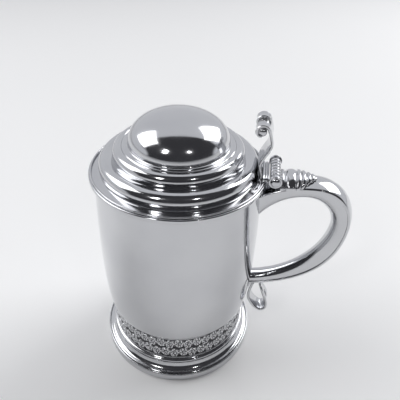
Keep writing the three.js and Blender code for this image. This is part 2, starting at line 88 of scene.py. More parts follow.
bore_depth = 1.6  # from the outside of a knuckle to its bore
pin_collar = {"radius": 4.15, "width": 1.4, "head": 3.0, "rise": 1.6, "edge": 0.45}
lid_plate_ribs = [(0.19, 0.19), (0.56, 0.15), (0.86, 0.11)]  # (share of the length, half-width)
drop_straight = 10
drop_ribs = [(0.9, 1.3), (6.2, 3.0), (11.2, 1.45), (14.2, 1.4), (17.4, 1.3), (19.8, 1.1)]

strap_crown = 2.4
strap_thickness = 1.6
strap_narrowing = {"bow": 0.7, "low": 2.7}
channel_wall = 1.2
channel_shoulder = 0.9
handle_reach = 61.3
handle_top_rise = 0.7
handle_low = 60.5
bow_height = 121.9
handle_depth = {"top": 10, "bow": 11, "low": 7, "root": 26}

tail_drop = 29.5
tail_out = 15
tail_thickness = 1.8
tail_half_width = (5.0, 5.8, 5.9)
tail_eye = {"half_width": 1.9, "half_height": 3.4}

thumb_lean = 4.2
thumb_thickness = 1.6
thumb_crown = 0.5
thumb_half_width = (10.4, 9.2, 10.4)
scroll_radius = 5.2
scroll_start = 0.5
scroll_split = 3.2
scroll_eye = 2.7

# Places read from the boxes.
drum_low, drum_high = box_mm("body_drum")
axis_x = (drum_low[0] + drum_high[0]) / 2
belly_radius = (drum_high[1] - drum_low[1]) / 2
mouth_radius = belly_radius - belly_out
drum_height = drum_high[2]
drum_bottom = drum_low[2]

band_low, band_high = box_mm("foliate_band")
band_radius = band_high[1]
base_radius = band_radius - band_thickness - clearance
ledge_height = box_mm("band_wire")[1][2] + ledge_over_wire

foot_radius = box_mm("foot_moulding")[1][1]

cover_low, cover_high = box_mm("lid_cover")
brim_radius = cover_high[1]
lid_seat = cover_low[2]
brim_top = lid_seat + brim_thickness
dome_rise = cover_high[2] - lid_seat - dome_foot

hinge = middle_mm("hinge_pin")
hinge_x = hinge[0] - axis_x
hinge_z = hinge[2]
knuckle_low, knuckle_high = box_mm("handle_knuckle_1")
knuckle_radius = (knuckle_high[2] - knuckle_low[2]) / 2

handle_top = drum_height + handle_top_rise
strap_edge = box_mm("handle_strap")[1][1]
strap_half_width = (strap_edge, strap_edge - strap_narrowing["bow"], strap_edge - strap_narrowing["low"])
thumb_top = box_mm("thumbpiece")[1][2]

ROUND_STEPS = 240
BOOLEAN_SHARP = 38  # degrees between faces that keep a hard edge after a boolean

# ------------------------------------------------------------------ mesh helpers, in mm about the vessel axis


def make_object(name, points, faces, sharp_degrees=40):
    """A smooth mesh object from points in mm about the vessel axis."""
    coords = np.array(points, float)
    coords[:, 0] += axis_x
    mesh = bpy.data.meshes.new(name)
    mesh.from_pydata((coords * MM).tolist(), [], faces)
    mesh.validate()
    mesh.update()
    mesh.shade_smooth()
    mesh.set_sharp_from_angle(angle=math.radians(sharp_degrees))
    obj = bpy.data.objects.new(name, mesh)
    bpy.context.scene.collection.objects.link(obj)
    return obj


def finish_piece(obj, body, nodes, material):
    obj.data.materials.clear()
    obj.data.materials.append(material)
    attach(obj, body)
    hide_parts(*nodes)
    return obj


def face_out(obj):
    """Turns every face of a closed mesh outwards."""
    bm = bmesh.new()
    bm.from_mesh(obj.data)
    bmesh.ops.recalc_face_normals(bm, faces=bm.faces)
    bm.to_mesh(obj.data)
    bm.free()
    return obj


def lathe(name, profile, steps=ROUND_STEPS, sharp_degrees=40):
    """Turns a closed loop of (radius, height) about the vessel axis. Points on the axis become poles."""
    points, rows, faces = [], [], []
    for radius, height in profile:
        if radius < 1e-6:
            rows.append([len(points)] * steps)
            points.append((0, 0, height))
            continue
        rows.append(list(range(len(points), len(points) + steps)))
        for i in range(steps):
            a = 2 * math.pi * i / steps
            points.append((radius * math.cos(a), radius * math.sin(a), height))
    on_axis = profile[0][0] < 1e-6
    pairs = list(zip(rows, rows[1:])) if on_axis else list(zip(rows, rows[1:] + rows[:1]))
    for low, high in pairs:
        for i in range(steps):
            j = (i + 1) % steps
            corners = list(dict.fromkeys([low[i], low[j], high[j], high[i]]))
            if len(corners) > 2:
                faces.append(corners)
    return face_out(make_object(name, points, faces, sharp_degrees))


def loft(name, rings, sharp_degrees=40):
    """Closed solid through rings of points, with flat ends."""
    count = len(rings[0])
    points = [p for ring in rings for p in ring]
    faces = []
    for i in range(len(rings) - 1):
        for j in range(count):
            k = (j + 1) % count
            faces.append([i * count + j, i * count + k, (i + 1) * count + k, (i + 1) * count + j])
    faces.append(list(range(count)))
    faces.append(list(range(len(points) - count, len(points))))
    return face_out(make_object(name, points, faces, sharp_degrees))


def arc(cr, cz, radius, start, end, steps):
    angles = np.radians(np.linspace(start, end, steps + 1))
    return [(cr + radius * math.cos(a), cz + radius * math.sin(a)) for a in angles]


def mix(a, b, t):
    return a + (b - a) * t


def quarter_cove(start, end, points):
    """A hollow that leaves its start flat and comes to its end upright."""
    start, end = np.array(start), np.array(end)
    angles = np.linspace(0, math.pi / 2, points)
    return [tuple(start + (end - start) * np.array([math.sin(a), 1 - math.cos(a)])) for a in angles]


def smoothstep(t, low, high):
    t = min(1, max(0, (t - low) / (high - low)))
    return t * t * (3 - 2 * t)


def through(t, values, middle=0.5):
    """A smooth change through three values at 0, the middle place and 1."""
    if t < middle:
        return mix(values[0], values[1], smoothstep(t, 0, middle))
    return mix(values[1], values[2], smoothstep(t, middle, 1))


def spline(points, steps):
    """Points and travel directions at even lengths along a centripetal Catmull-Rom curve."""
    p = np.array(points, float)
    p = np.vstack([2 * p[0] - p[1], p, 2 * p[-1] - p[-2]])
    knots = np.concatenate([[0], np.cumsum(np.linalg.norm(np.diff(p, axis=0), axis=1) ** 0.5)])
    dense = []
    for i in range(1, len(p) - 2):
        t0, t1, t2, t3 = knots[i - 1:i + 3]
        for t in np.linspace(t1, t2, 40, endpoint=False):
            a1 = (t1 - t) / (t1 - t0) * p[i - 1] + (t - t0) / (t1 - t0) * p[i]
            a2 = (t2 - t) / (t2 - t1) * p[i] + (t - t1) / (t2 - t1) * p[i + 1]
            a3 = (t3 - t) / (t3 - t2) * p[i + 1] + (t - t2) / (t3 - t2) * p[i + 2]
            b1 = (t2 - t) / (t2 - t0) * a1 + (t - t0) / (t2 - t0) * a2
            b2 = (t3 - t) / (t3 - t1) * a2 + (t - t1) / (t3 - t1) * a3
            dense.append((t2 - t) / (t2 - t1) * b1 + (t - t1) / (t2 - t1) * b2)
    dense.append(p[-2])
    dense = np.array(dense)
    length = np.concatenate([[0], np.cumsum(np.linalg.norm(np.diff(dense, axis=0), axis=1))])
    even = np.linspace(0, length[-1], steps + 1)
    line = np.stack([np.interp(even, length, dense[:, k]) for k in range(2)], axis=1)
    travel = np.gradient(line, axis=0)
    return line, travel / np.linalg.norm(travel, axis=1)[:, None]


def strip_section(half_width, thickness, crown, across=20):
    """A strip's section of (across, out) points with rounded edges and a raised middle."""
    def rise(y):
        return crown * (1 - (y / half_width) ** 2)

    edge = thickness / 2
    ys = np.linspace(half_width - edge * 0.6, -(half_width - edge * 0.6), across + 1)
    upper = [(y, rise(y) + edge) for y in ys]
    lower = [(-y, rise(y) - edge) for y in ys]
    side = rise(half_width * 0.98)
    left = [(-half_width + 0.12 * edge, edge * 0.6 + side), (-half_width, side),
            (-half_width + 0.12 * edge, side - edge * 0.6)]
    right = [(-y, z) for y, z in reversed(left)]
    return upper + left + lower + right


def along(line, travel, section_at):
    """Rings across a line in the XZ plane; a section's out side is on the left of the travel."""
    rings = []
    for i, (centre, way) in enumerate(zip(line, travel)):
        out = (-way[1], way[0])
        section = section_at(i / (len(line) - 1))
        rings.append([(centre[0] + v * out[0], u, centre[1] + v * out[1]) for u, v in section])
    return rings


def turned_across(name, profile, place, steps):
    """Turns (radius, along Y) points about a line that lies along Y through a place in mm."""
    obj = lathe(name, profile, steps)
    turn = Matrix.Rotation(math.radians(-90), 4, "X")
    to_axis = Matrix.Translation(Vector((-axis_x * MM, 0, 0)))
    x, y, z = place
    obj.data.transform(Matrix.Translation(Vector(((x + axis_x) * MM, y * MM, z * MM))) @ turn @ to_axis)
    obj.data.update()
    return obj


def boolean(obj, tool, operation):
    modifier = obj.modifiers.new("shape", "BOOLEAN")
    modifier.object = tool
    modifier.operation = operation
    modifier.solver = "EXACT"
    depsgraph = bpy.context.evaluated_depsgraph_get()
    mesh = bpy.data.meshes.new_from_object(obj.evaluated_get(depsgraph))
    obj.modifiers.clear()
    obj.data = mesh
    bpy.data.objects.remove(tool)
    mesh.shade_smooth()
    mesh.set_sharp_from_angle(angle=math.radians(BOOLEAN_SHARP))
    return obj


# ------------------------------------------------------------------ materials


def shader(name):
    material = bpy.data.materials.new(name)
    material.use_nodes = True
    nodes = material.node_tree.nodes
    return material, nodes, material.node_tree.links, nodes["Principled BSDF"]


def add(nodes, kind, **values):
    node = nodes.new(kind)
    for key, value in values.items():
        if hasattr(node, key):
            setattr(node, key, value)
        else:
            node.inputs[key.replace("_", " ")].default_value = value
    return node


def object_noise(nodes, links, scale, detail=4, stretch=(1, 1, 1)):
    """Noise in the piece's own space, that many cells to the metre, stretched along its axes."""
    place = nodes.new("ShaderNodeTexCoord")
    mapping = nodes.new("ShaderNodeMapping")
    mapping.inputs["Scale"].default_value = [scale * s for s in stretch]
    links.new(place.outputs["Object"], mapping.inputs["Vector"])
    noise = add(nodes, "ShaderNodeTexNoise", Scale=1.0, Detail=detail)
    links.new(mapping.outputs["Vector"], noise.inputs["Vector"])
    return noise


def maths(nodes, links, operation, *sources):
    node = nodes.new("ShaderNodeMath")
    node.operation = operation
    for source, socket in zip(sources, node.inputs):
        links.new(source, socket)
    return node.outputs["Value"]


def ramp(nodes, links, source, low, high, low_value, high_value):
    node = nodes.new("ShaderNodeMapRange")
    node.inputs["From Min"].default_value = low
    node.inputs["From Max"].default_value = high
    node.inputs["To Min"].default_value = low_value
    node.inputs["To Max"].default_value = high_value
    links.new(source, node.inputs["Value"])
    return node.outputs["Result"]


def colour_mix(nodes, links, factor, first, second):
    node = nodes.new("ShaderNodeMix")
    node.data_type = "RGBA"
    node.inputs["A"].default_value = (*first, 1)
    node.inputs["B"].default_value = (*second, 1)
    links.new(factor, node.inputs["Factor"])
    return node.outputs["Result"]


def polished_pewter():
    """Bright hand-polished metal: faint tone drift, rub haze and hair-fine scratches."""
    material, nodes, links, principled = shader("polished_pewter")
    principled.inputs["Metallic"].default_value = 1.0
    drift = object_noise(nodes, links, 28, 3)
    tone = ramp(nodes, links, drift.outputs["Fac"], 0.3, 0.7, 0, 1)
    colour = colour_mix(nodes, links, tone, (0.56, 0.565, 0.585), (0.61, 0.615, 0.63))
    links.new(colour, principled.inputs["Base Color"])
    haze = object_noise(nodes, links, 90, 6)
    links.new(ramp(nodes, links, haze.outputs["Fac"], 0.35, 0.75, 0.09, 0.17),
              principled.inputs["Roughness"])
    rubs = object_noise(nodes, links, 260, 2, (1, 1, 9))
    hairs = object_noise(nodes, links, 1400, 2, (0.08, 1, 1))
    total = maths(nodes, links, "ADD", rubs.outputs["Fac"], hairs.outputs["Fac"])
    bump = add(nodes, "ShaderNodeBump", Strength=0.05, Distance=0.00008)
    links.new(total, bump.inputs["Height"])
    links.new(bump.outputs["Normal"], principled.inputs["Normal"])
    return material


def chased_pewter():
    """Cast leaf scrolls: bright on the tops, dark and matt in the grounds; the dark grounds are partly
    tarnish and partly painted shade.
    """
    material, nodes, links, principled = shader("chased_pewter")
    principled.inputs["Metallic"].default_value = 1.0
    relief = nodes.new("ShaderNodeAttribute")
    relief.attribute_name = "relief"
    patina = object_noise(nodes, links, 900, 4)
    blended = nodes.new("ShaderNodeMath")
    blended.operation = "MULTIPLY_ADD"
    blended.inputs[1].default_value = 0.25
    links.new(patina.outputs["Fac"], blended.inputs[0])
    links.new(relief.outputs["Fac"], blended.inputs[2])
    height = ramp(nodes, links, blended.outputs["Value"], 0.15, 0.75, 0, 1)
    # Painted shade, partly tarnish: the colour darkens from the relief's tops down into its grounds.
    links.new(colour_mix(nodes, links, height, (0.07, 0.07, 0.075), (0.66, 0.665, 0.68)),
              principled.inputs["Base Color"])
    links.new(ramp(nodes, links, height, 0, 1, 0.5, 0.13), principled.inputs["Roughness"])
    bump = add(nodes, "ShaderNodeBump", Strength=0.3, Distance=0.0001)
    links.new(patina.outputs["Fac"], bump.inputs["Height"])
    links.new(bump.outputs["Normal"], principled.inputs["Normal"])
    return material


def turned_satin(name, base):
    """Satin inner metal with fine turning rings."""
    material, nodes, links, principled = shader(name)
    principled.inputs["Metallic"].default_value = 1.0
    rings = object_noise(nodes, links, 700, 2, (0.06, 0.06, 1))
    tone = ramp(nodes, links, rings.outputs["Fac"], 0.3, 0.7, 0, 1)
    paler = tuple(c * 1.12 for c in base)
    links.new(colour_mix(nodes, links, tone, base, paler), principled.inputs["Base Color"])
    links.new(ramp(nodes, links, rings.outputs["Fac"], 0.3, 0.7, 0.22, 0.36), principled.inputs["Roughness"])
    bump = add(nodes, "ShaderNodeBump", Strength=0.15, Distance=0.0001)
    links.new(rings.outputs["Fac"], bump.inputs["Height"])
    links.new(bump.outputs["Normal"], principled.inputs["Normal"])
    return material


def floor_material():
    material, nodes, links, principled = shader("pale_floor")
    principled.inputs["Roughness"].default_value = 0.6
    grain = object_noise(nodes, links, 3, 2)
    tone = ramp(nodes, links, grain.outputs["Fac"], 0.2, 0.8, 0, 1)
    links.new(colour_mix(nodes, links, tone, (0.93, 0.93, 0.93), (0.94, 0.94, 0.94)),
              principled.inputs["Base Color"])
    return material


# ------------------------------------------------------------------ drum, band and foot


def drum_outside(z):
    """Outside radius of the bellied wall at a height over the band."""
    if z > belly_height:
        return belly_radius - belly_out * ((z - belly_height) / (drum_height - belly_height)) ** 2
    share = min(1, (belly_height - z) / (belly_height - ledge_height))
    return belly_radius - (belly_out + tuck_in) * share ** 3


def wall_line(steps, inset):
    return [(drum_outside(z) - inset, z) for z in np.linspace(ledge_height, drum_height, steps + 1)]


def build_drum(metal):
    outside = [(base_radius, drum_bottom + 0.3), (base_radius, ledge_height - 0.3),
               (base_radius + 0.4, ledge_height)]
    wall = wall_line(90, 0)
    ledge = [(wall[0][0] - 0.3, ledge_height), (wall[0][0], ledge_height + 0.3)]
    lip_radius = drum_wall / 2
    lip = arc(mouth_radius - lip_radius, drum_height - lip_radius, lip_radius, 20, 160, 10)
    outer_wall = [p for p in wall[1:] if p[1] < drum_height - lip_radius - 0.2]
    inner_wall = [p for p in wall_line(60, drum_wall)[2:] if p[1] < drum_height - lip_radius - 0.2][::-1]
    inner = base_radius - drum_wall
    corner = [(inner + 0.8, band_high[2] + 1.2), (inner + 0.2, band_high[2]), (inner, band_high[2] - 2),
              (inner, drum_bottom + 0.3), (inner + 0.3, drum_bottom), (base_radius - 0.3, drum_bottom)]
    profile = outside + ledge + outer_wall + lip + inner_wall + corner
    finish_piece(lathe("drum", profile), "tankard", ["body_drum"], metal)


def build_bottom(metal):
    low, high = box_mm("body_bottom")
    radius = high[1]
    dome = high[2] - low[2] - bottom_thickness
    share = np.linspace(0, 1, 40)
    under = [(radius * s, low[2] + dome * math.cos(s * math.pi / 2)) for s in share]
    over = [(r, z + bottom_thickness) for r, z in under][::-1]
    finish_piece(lathe("bottom", under + over), "tankard", ["body_bottom"], metal)


LEAF_REPEATS = 24


def leaf_scroll(u, v, turn):
    """One small leaf scroll, 0 on the ground to 1 on the tops. u and v both run from -1 to 1."""
    x = u * 0.9
    y = v * turn + 0.1
    radius = np.hypot(x, y) + 1e-9
    angle = np.arctan2(y, x)
    spiral = (angle / (2 * math.pi) + 0.25) % 1.0
    arm_gap = np.minimum(np.abs(radius - 0.16 - 0.36 * spiral), np.abs(radius - 0.52 - 0.36 * spiral))
    stem = np.clip(1 - (arm_gap / 0.085) ** 2, 0, 1) ** 0.5 * (radius < 0.9)
    eye = np.clip(1 - (radius / 0.17) ** 2, 0, 1) ** 0.5
    fan = np.abs(((angle + 2 * radius) * 6 / (2 * math.pi)) % 1.0 - 0.5) * 2
    reach = np.clip(1 - ((radius - 0.68) / 0.34) ** 2, 0, 1)
    leaves = np.clip(1 - (fan / 0.72) ** 2, 0, 1) ** 0.6 * reach * 0.9
    return np.maximum.reduce([stem, eye, leaves])


def leaf_height(u, v):
    """Relief of two running rows of leaf scrolls. u goes round in repeats, v goes from -1 at the
    band's lower edge to 1 at its upper edge."""
    cell = np.floor(u * 2)
    across = (u * 2 - cell - 0.5) * 2
    turn = np.where(cell % 2 == 0, 1.0, -1.0)
    upper = leaf_scroll(across, (v - 0.5) * 2, turn)
    shifted = u * 2 + 0.5
    lower_cell = np.floor(shifted)
    lower_turn = np.where(lower_cell % 2 == 0, -1.0, 1.0)
    lower = leaf_scroll((shifted - lower_cell - 0.5) * 2, (v + 0.5) * 2, lower_turn)
    return np.where(v > 0, upper, lower) * np.clip((1 - np.abs(v)) / 0.08, 0, 1)


def build_band(metal):
    """The applied strip: a raised scroll relief between two plain fillets."""
    around, up = 1920, 84
    low_z, high_z = band_low[2], band_high[2]
    fillet = 1.1
    edge = 0.2
    fillet_shade = 0.9
    ground, top = band_radius - 0.45, band_radius + 0.35
    angles = 2 * math.pi * np.arange(around) / around
    vs = np.linspace(-1, 1, up)
    u_grid, v_grid = np.meshgrid(np.arange(around) / around * LEAF_REPEATS, vs, indexing="ij")
    relief = leaf_height(u_grid, v_grid)
    radius = ground + (top - ground) * relief
    inner = base_radius + clearance
    rows = [(inner, low_z), (band_radius - edge / 2, low_z), (band_radius, low_z + edge),
            (band_radius, low_z + fillet)]
    tail = [(band_radius, high_z - fillet), (band_radius, high_z - edge),
            (band_radius - edge / 2, high_z), (inner, high_z)]
    heights = mix(low_z + fillet + edge / 4, high_z - fillet - edge / 4, (vs + 1) / 2)
    # The shade values set the band's colour: painted shade, partly tarnish, in the grounds, with the plain
    # fillets kept light.
    columns = [(r, z, fillet_shade) for r, z in rows]
    columns += [(radius[:, k], heights[k], relief[:, k]) for k in range(up)]
    columns += [(r, z, fillet_shade) for r, z in tail]
    count = len(columns)
    cos, sin = np.cos(angles), np.sin(angles)
    grid = np.stack([np.stack([r * cos, r * sin, np.full(around, z)], 1) for r, z, _ in columns], 1)
    shade = np.stack([np.broadcast_to(tone, around) for _, _, tone in columns], 1)
    faces = []
    for i in range(around):
        j = (i + 1) % around
        for k in range(count):
            m = (k + 1) % count
            faces.append([i * count + k, j * count + k, j * count + m, i * count + m])
    band = face_out(make_object("leaf_band", grid.reshape(-1, 3), faces, 60))
    attribute = band.data.attributes.new("relief", "FLOAT", "POINT")
    attribute.data.foreach_set("value", shade.reshape(-1).astype(np.float32))
    finish_piece(band, "tankard", ["foliate_band"], metal)


def build_hoop(name, node, body, metal):
    low, high = box_mm(node)
    wire = (high[2] - low[2]) / 2 / math.cos(math.radians(30))
    radius = high[1] - wire
    profile = arc(radius, (low[2] + high[2]) / 2, wire, 0, 360, 24)[:-1]
    finish_piece(lathe(name, profile), body, [node], metal)


def build_foot(metal):
    wire_low, wire_high = box_mm("foot_wire")
    rim = wire_low[2] - clearance
    shoulder = wire_high[2] + 0.05
    step = foot_radius - foot_shelf
    collar = base_radius + clearance
    top = band_low[2] - clearance
    bead_z = top - 0.9 - foot_bead
    waist = collar + foot_waist
    tread = foot_radius - foot_tread
    outer_edge = [(tread + 0.3, 0), (foot_radius - 0.5, 0), (foot_radius, 0.5), (foot_radius, rim - 0.4),
                  (foot_radius - 0.3, rim), (step + 0.1, rim), (step, rim + 0.1), (step, shoulder - 0.3),
                  (step - 0.3, shoulder)]
    cove = quarter_cove((step - 0.9, shoulder + 0.2), (waist, bead_z - foot_bead), 28)
    bead = arc(waist - 0.2, bead_z, foot_bead, -62, 80, 16)
    neck = [(collar + 0.9, top - 0.4), (collar + 0.7, top), (collar, top)]
    inside = [(collar, drum_bottom - 1), (collar + 0.2, drum_bottom - 2.2), (collar + 0.9, drum_bottom - 4.2),
              (collar + 2.4, drum_bottom - 6.4), (tread - 0.4, 4.6), (tread, 3.2), (tread, 0.3)]
    profile = outer_edge + cove + bead + neck + inside
    finish_piece(lathe("foot", profile), "tankard", ["foot_moulding"], metal)


# ------------------------------------------------------------------ lid


def lid_outline(inset, steps):
    """The lid's outline from the foot of the first tier to the crown, set in by the wall."""
    low_r = mouth_radius - lower_tier["inset"] - lower_tier["radius"]
    low_z = lid_seat + lower_tier["height"]
    high_r = mouth_radius - upper_tier["inset"] - upper_tier["radius"]
    high_z = lid_seat + upper_tier["height"]
    dome_radius = mouth_radius - dome_inset - inset
    low = arc(low_r, low_z, lower_tier["radius"] - inset, -20, 100, steps)
    valley = [(mouth_radius - tier_valley["inset"] - inset, lid_seat + tier_valley["height"] - inset)]
    high = arc(high_r, high_z, upper_tier["radius"] - inset, -20, 84, steps)
    foot = lid_seat + dome_foot - inset
    shelf = high_z + upper_tier["radius"] + 0.1 - inset
    middle = mix(high_r, dome_radius + dome_cove + inset, 0.45) - inset
    groove = [(middle + 0.7, shelf), (middle + 0.45, shelf - 0.1), (middle, shelf - 0.5),
              (middle - 0.45, shelf - 0.1), (middle - 0.7, shelf)]
    cove = quarter_cove((dome_radius + dome_cove, shelf), (dome_radius, foot), max(6, steps // 2))
    dome = []
    for s in np.linspace(0, 1, 3 * steps)[1:]:
        a = s * math.pi / 2
        dome.append((dome_radius * max(0, math.cos(a)) ** 0.88, foot + dome_rise * math.sin(a)))
    dome[-1] = (0, dome[-1][1])
    return low + valley + high + groove + cove + dome


def build_cover(metal):
    tier_foot = mouth_radius - lower_tier["inset"]
    base = brim_top + brim_rise
    edge = arc(brim_radius - 0.6, lid_seat + 0.6, 0.6, -90, 0, 6)
    edge += arc(brim_radius - 0.9, brim_top - 0.9, 0.9, 0, 88, 10)
    start = np.array([brim_radius - 1.6, brim_top + 0.02])
    end = np.array([tier_foot + 0.2, base - 0.1])
    sweep = [tuple(start + (end - start) * np.array([s, s ** 1.8])) for s in np.linspace(0, 1, 24)]
    outer = edge + sweep + [(tier_foot - 0.3, base), (tier_foot - 0.42, base + 0.4)] + lid_outline(0, 26)
    inner = lid_outline(lid_wall, 12)[::-1]
    mouth = [(mouth_radius - 4.6, lid_seat + 0.3), (mouth_radius - 4.3, lid_seat)]
    profile = (outer + inner[:-1] + mouth)[::-1]
    cover = lathe("lid_shell", reorder_from_axis(profile))
    finish_piece(cover, "lid", ["lid_cover"], metal)


def reorder_from_axis(profile):
    """Starts a closed profile at the first of its two axis points, so that it ends at the other."""
    poles = [i for i, (r, _) in enumerate(profile) if r < 1e-6]
    first, second = poles[0], poles[-1]
    if second - first == 1:
        return profile[second:] + profile[:first + 1]
    return profile[first:] + profile[:first]


def build_bezel(metal):
    low, high = box_mm("lid_bezel")
    outer = high[1]
    inner = outer - bezel_wall
    profile = [(inner + 0.3, low[2]), (outer - 0.6, low[2]), (outer - 0.2, low[2] + 0.5),
               (outer, low[2] + 1.3), (outer, high[2]), (inner, high[2]), (inner, low[2] + 0.3)]
    finish_piece(lathe("bezel", profile), "lid", ["lid_bezel"], metal)


# ------------------------------------------------------------------ hinge


def on_hinge(name, profile, y):
    return turned_across(name, profile, (hinge_x, y, hinge_z), 72)


def build_knuckle(node, body, metal):
    low, high = box_mm(node)
    half = (high[1] - low[1]) / 2
    bore = knuckle_radius - bore_depth
    edge = 0.55
    round_edge = [(knuckle_radius - edge + edge * math.sin(a), half - edge + edge * math.cos(a))
                  for a in np.linspace(0, math.pi / 2, 6)]
    barrel = [(r, -z) for r, z in round_edge] + round_edge[::-1]
    profile = [(bore, -half)] + barrel + [(bore, half)]
    obj = on_hinge(node.replace("knuckle", "lug"), profile, (low[1] + high[1]) / 2)
    finish_piece(obj, body, [node], metal)


def build_pin_head(node, metal):
    low, high = box_mm(node)
    side = 1 if low[1] > 0 else -1
    start = low[1] if side > 0 else high[1]
    width, head, rise, edge = (pin_collar[key] for key in ("width", "head", "rise", "edge"))
    edge_middle = pin_collar["radius"] - edge
    rim = arc(edge_middle, edge, edge, -90, 0, 4) + arc(edge_middle, width - edge, edge, 0, 90, 4)
    neck = [(head + 0.1, width), (head - 0.1, width - 0.15)]
    dome = [(head * math.cos(a), width + rise * math.sin(a)) for a in np.linspace(0.02, math.pi / 2, 14)]
    dome[-1] = (0, width + rise)
    profile = [(0, 0)] + rim + neck + dome
    obj = on_hinge(node.replace("hinge_pin_head", "pin_button"), [(r, side * z) for r, z in profile], start)
    finish_piece(obj, "tankard", [node], metal)


def bump_at(x, centre, half):
    return max(0.0, 1 - ((x - centre) / half) ** 2)


def build_lid_plate(metal):
    low, high = box_mm("lid_hinge_plate")
    start, end = low[0] - axis_x, high[0] - axis_x
    half_width = high[1]
    height = high[2] - low[2]
    rings = []
    for t in np.linspace(0, 1, 90):
        rib = max(bump_at(t, c, h) for c, h in lid_plate_ribs) ** 0.5
        edge = smoothstep(t, 0, 0.05) * smoothstep(1 - t, 0, 0.04)
        top = low[2] + (height - 1.1 + 1.0 * rib) * (0.55 + 0.45 * edge)
        half = half_width - 0.7 * (1 - rib) - 0.3 * (1 - edge)
        x = mix(start, end, t)
        section = [(half, low[2] - 0.3)] + [
            (half * math.cos(a) ** 0.35 if math.cos(a) > 0 else -half * (-math.cos(a)) ** 0.35,
             low[2] + (top - low[2]) * math.sin(a) ** 0.5) for a in np.linspace(0.02, math.pi - 0.02, 31)
        ] + [(-half, low[2] - 0.3)]
        rings.append([(x, y, z) for y, z in section])
    finish_piece(loft("lid_plate", rings, 60), "lid", ["lid_hinge_plate"], metal)


# ------------------------------------------------------------------ handle


def bezier_points(points, steps):
    p = np.array(points, float)
    t = np.linspace(0, 1, steps + 1)[:, None]
    return (1 - t) ** 3 * p[0] + 3 * t * (1 - t) ** 2 * p[1] + 3 * t * t * (1 - t) * p[2] + t ** 3 * p[3]


def handle_lines(steps):
    """The strap's edge line and the inner nose line, from the drum over the bow and back."""
    bow_x = mouth_radius + handle_reach - strap_crown
    top_x = mouth_radius + 0.55 * handle_reach
    drum_in = mouth_radius - 3
    top = handle_top
    nose_top = top - handle_depth["top"]
    nose_bow = (bow_x - handle_depth["bow"] + 0.8, bow_height - 2.5)
    low = handle_depth["low"]
    edge = [
        [(drum_in, top - 11.5), (drum_in + 11, top - 3.8), (top_x - 15, top), (top_x, top)],
        [(top_x, top), (top_x + 16.5, top), (bow_x, mix(bow_height, top, 0.56)), (bow_x, bow_height)],
        [(bow_x, bow_height), (bow_x - 0.5, mix(handle_low, bow_height, 0.54)),
         (bow_x - 16, handle_low + 7.4), (drum_in, handle_low - 1)],
    ]
    nose = [
        [(drum_in, top - 11.5 - handle_depth["root"]), (drum_in + 5, top - 24), (top_x - 20, nose_top - 0.4),
         (top_x - 4.5, nose_top)],
        [(top_x - 4.5, nose_top), (top_x + 6.5, nose_top), (nose_bow[0] + 0.3, nose_bow[1] + 12), nose_bow],
        [nose_bow, (nose_bow[0] - 0.6, nose_bow[1] - 20), (nose_bow[0] - 18.4, handle_low + low + 5.2),
         (drum_in, handle_low + low - 1)],
    ]
    each = steps // 3

    def join(segments):
        parts = [bezier_points(s, each) for s in segments]
        return np.vstack([parts[0]] + [part[1:] for part in parts[1:]])

    return join(edge), join(nose)


def strap_half(t):
    return through(t, strap_half_width, 0.6)


def settle(rings):
    """Ends that reach into the drum stop inside its wall."""
    out = []
    for ring in rings:
        moved = []
        for x, y, z in ring:
            wall = drum_outside(z) - 0.8
            nearest = math.sqrt(max(0, wall * wall - y * y))
            moved.append((max(x, nearest), y, z))
        out.append(moved)
    return out


def handle_rings(steps, section_at):
    edge, nose = handle_lines(steps)
    rings = []
    for i, (rim, tip) in enumerate(zip(edge, nose)):
        out = rim - tip
        depth = np.linalg.norm(out)
        out = out / depth
        section = section_at(i / steps, depth)
        rings.append([(rim[0] + v * out[0], u, rim[1] + v * out[1]) for u, v in section])
    return settle(rings)


def build_strap(metal):
    def section_at(t, depth):
        section = strip_section(strap_half(t), strap_thickness, strap_crown, 28)
        return [(u, v - strap_thickness / 2) for u, v in section]

    obj = loft("handle_back", handle_rings(240, section_at), 50)
    finish_piece(obj, "tankard", ["handle_strap"], metal)


def build_channel(metal):
    def section_at(t, depth):
        half = strap_half(t) - channel_shoulder
        start = -strap_thickness + 0.25  # the shell's edges run up against the strap
        reach = depth + start
        angles = np.linspace(0, math.pi, 33)

        def u_line(w, d):
            return [(w * math.cos(a), start - d * math.sin(a) ** 0.7) for a in angles]

        return u_line(half, reach) + u_line(half - channel_wall, reach - channel_wall)[::-1]

    obj = loft("handle_shell", handle_rings(240, section_at), 50)
    finish_piece(obj, "tankard", ["handle_channel"], metal)


def crown_at(y):
    """How far the strap's crown stands over its edges, at a place across it."""
    return strap_crown * (1 - min(1, (y / strap_edge) ** 2))


def build_drop(metal):
    low, high = box_mm("handle_drop")
    start = low[0] - axis_x
    length = high[0] - low[0]
    half_width = high[1]
    edge, _ = handle_lines(240)
    upper = edge[edge[:, 1] > bow_height]
    rings = []
    for run in np.linspace(0, length, 150):
        taper = max(0, (run - drop_straight) / (length - drop_straight))
        rib = max(bump_at(run, c, h) for c, h in drop_ribs) ** 0.5
        half = (half_width - 0.8 * (1 - rib)) * (1 - 0.84 * taper ** 1.3)
        edge_z = np.interp(start + run, upper[:, 0], upper[:, 1])
        strap_top = mix(edge_z, handle_top, 0.5) - 0.3
        fall = 1 - 0.55 * taper
        rise = (2.5 + 1.5 * rib) * fall + 0.7
        section = [(y, strap_top + crown_at(y)) for y in np.linspace(-half, half, 9)]
        for a in np.linspace(0.03, math.pi - 0.03, 35):
            c = math.cos(a)
            y = half * math.copysign(abs(c) ** 0.6, c)
            section.append((y, strap_top + crown_at(y) + rise * math.sin(a) ** 0.6))
        rings.append([(start + run, y, z) for y, z in section])
    finish_piece(loft("ribbed_drop", rings, 60), "tankard", ["handle_drop"], metal)


